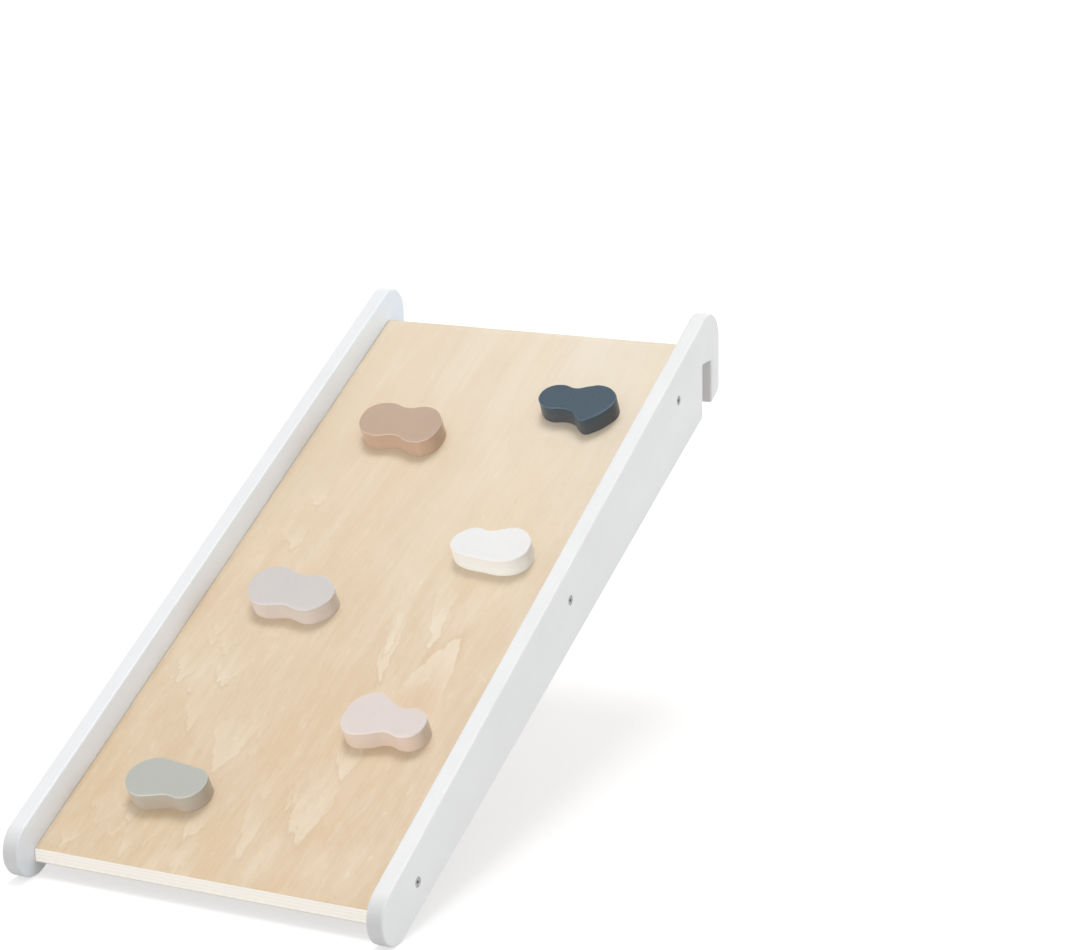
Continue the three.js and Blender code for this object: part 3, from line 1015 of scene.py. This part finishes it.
def make_hold(name):
    length, breadth, _, _, top_color, painted_side_light, outline = hold_table[name]
    bpy.ops.object.select_all(action="DESELECT")
    bpy.ops.curve.primitive_bezier_circle_add(radius=1)
    curve = bpy.context.object
    curve.data.dimensions = "2D"
    curve.data.fill_mode = "NONE"
    curve.data.resolution_u = 9
    points = curve.data.splines[0].bezier_points
    points.add(len(outline) - len(points))
    for point, (along_share, across_share) in zip(points, outline):
        point.handle_left_type = point.handle_right_type = "AUTO"
        point.co = (along_share * length / 2, across_share * breadth / 2, 0)
    bpy.ops.object.convert(target="MESH")
    hold = bpy.context.object
    bpy.ops.object.mode_set(mode="EDIT")
    bpy.ops.mesh.select_all(action="SELECT")
    bpy.ops.mesh.remove_doubles(threshold=weld_reach)
    bpy.ops.mesh.edge_face_add()
    bpy.ops.mesh.extrude_region_move(TRANSFORM_OT_translate={"value": (0, 0, hold_thickness)})
    bpy.ops.mesh.select_all(action="SELECT")
    bpy.ops.mesh.normals_make_consistent(inside=False)
    finish_edit()

    def on_top_rim(start, end):
        return min(start.z, end.z) > hold_thickness - level

    def on_lower_rim(start, end):
        return max(start.z, end.z) < level

    for on_rim, width, segments in (
        (on_top_rim, hold_rounding, hold_rounding_segments),
        (on_lower_rim, hold_break, hold_break_segments),
    ):
        pick(hold, "EDGE", on_rim)
        bpy.ops.mesh.bevel(offset=width, segments=segments, profile=0.5, affect="EDGES")
        finish_edit()
    shade(hold)
    hold.rotation_euler = (slope, 0, 0)
    hold.location = hold_place(name) + off_slope * hold_seat
    settle(hold)
    screw_places = hold_screw_places(name)
    take_away(hold, [screw_hole(hold_screw_size, place, inward) for place, inward in screw_places])
    paint = hold_paint(name, top_color, painted_side_light)
    call(hold, f"{name}_hold", paint, f"hold_{name}")


for hold_name in hold_table:
    make_hold(hold_name)

# Hold screws
# Two countersunk zinc-plated wood screws to each hold, driven up through the deck from below.
hold_screw_pattern = turned_screw(hold_screw_size)
for hold_name in hold_table:
    for number, (place, inward) in enumerate(hold_screw_places(hold_name), 1):
        call(
            driven(hold_screw_pattern, place, inward),
            f"screw_{hold_name}_{number}",
            zinc_plating,
            f"hold_screw_{hold_name}_{number}",
        )
bpy.data.objects.remove(hold_screw_pattern)

# Dowels
# Bare beech dowels that locate the boards on the deck. They are glued into both, and never show.
# The solids' own shape serves here.


def beech():
    material, tree, shader = start_material("beech_dowel", Roughness=0.75)
    place = put(tree, "ShaderNodeTexCoord").outputs["Object"]
    fibre = put(tree, "ShaderNodeMapping", {"Vector": place, "Rotation": (0, 0, math.pi / 2)})
    rays = stretched_noise(tree, fibre.outputs["Vector"], 1200.0, 90.0, 3.0, 0.6)
    feed(shader, {"Base Color": blend_colors(tree, rays, (0.70, 0.50, 0.31, 1), (0.56, 0.37, 0.21, 1))})
    return material


beech_dowel = beech()
for node_name, node_object in frame["nodes"].items():
    if node_name.startswith("dowel"):
        for material_slot in node_object.material_slots:
            material_slot.material = beech_dowel

# Floor, light and camera
# A plain white studio floor that keeps the ramp's soft shadow, light from above and all round,
# and the photograph's view.
floor_size = 60
floor_reflects = 0.62
floor_shown = 0.46
floor_glow = 0.64
surround_light = 0.66


def shown(tree):
    """One for the rays that show the background: to the camera, in gloss and through glass."""
    path = put(tree, "ShaderNodeLightPath").outputs
    seen = maths(tree, "MAXIMUM", path["Is Camera Ray"], path["Is Glossy Ray"])
    return maths(tree, "MAXIMUM", seen, path["Is Transmission Ray"])


def grey(tone):
    return (tone, tone, tone, 1)


bpy.ops.object.select_all(action="DESELECT")
bpy.ops.mesh.primitive_plane_add(size=floor_size, location=(0, 0, 0))
floor = bpy.context.object
floor.name = "studio_floor"
floor_material, floor_tree, floor_shader = start_material("studio_floor", Roughness=0.9)
floor_seen = shown(floor_tree)
feed(
    floor_shader,
    {
        "Specular IOR Level": 0.0,
        "Base Color": blend_colors(floor_tree, floor_seen, grey(floor_reflects), grey(floor_shown)),
        "Emission Color": grey(1),
        "Emission Strength": ramp(floor_tree, floor_seen, 0.0, 1.0, 0.0, floor_glow),
    },
)
floor.data.materials.append(floor_material)

world = bpy.data.worlds.new("studio")
bpy.context.scene.world = world
world.use_nodes = True
world_tree = world.node_tree
world_strength = ramp(world_tree, shown(world_tree), 0.0, 1.0, surround_light, 1.0)
feed(world_tree.nodes["Background"], {"Color": grey(1), "Strength": world_strength})


def gathered(name, wanted):
    """A collection of the visible pieces whose names wanted says yes to."""
    group = bpy.data.collections.new(name)
    for piece in bpy.context.scene.objects:
        if piece.type == "MESH" and wanted(piece.name):
            group.objects.link(piece)
    return group


left_group = gathered("lit_left_board", lambda name: name == "board_left")
right_group = gathered("lit_right_board", lambda name: name == "board_right")
hold_group = gathered("lit_holds", lambda name: name.endswith("_hold") or name == "deck")
for name, direction, energy, spread, tint, lit, has_shadow in (
    # where the light comes from, its strength, spread in degrees and tint, what it alone lights,
    # and if it casts a shadow
    ("overhead", (-0.05, 0.08, 1.0), 1.335, 26, (1, 1, 1), None, True),
    ("left_reflector", (1.0, 0.3, 0.25), 1.2, 40, (0.65, 0.84, 1.0), left_group, True),
    ("right_reflector", (1.0, 0.3, 0.25), 0.78, 40, (0.98, 0.99, 1.0), right_group, True),
    ("hold_reflector", (-0.14, -0.966, -0.22), 1.27, 16, (1, 0.97, 0.93), hold_group, False),
):
    bpy.ops.object.select_all(action="DESELECT")
    bpy.ops.object.light_add(type="SUN", location=Vector(direction) * 3)
    lamp = bpy.context.object
    lamp.name = name
    lamp.rotation_euler = Vector(direction).to_track_quat("Z", "Y").to_euler()
    lamp.data.energy = energy
    lamp.data.angle = math.radians(spread)
    lamp.data.color = tint
    lamp.data.use_shadow = has_shadow
    lamp.light_linking.receiver_collection = lit

bpy.ops.object.camera_add(
    location=(1.60235, -2.88449, 1.27797),
    rotation=(math.radians(74.9334), math.radians(0.8933), math.radians(25.4688)),
)
camera = bpy.context.object
camera.data.lens = 91.979
camera.data.sensor_width = 36
camera.data.clip_end = 100
bpy.context.scene.camera = camera
bpy.context.scene.view_settings.view_transform = "Standard"
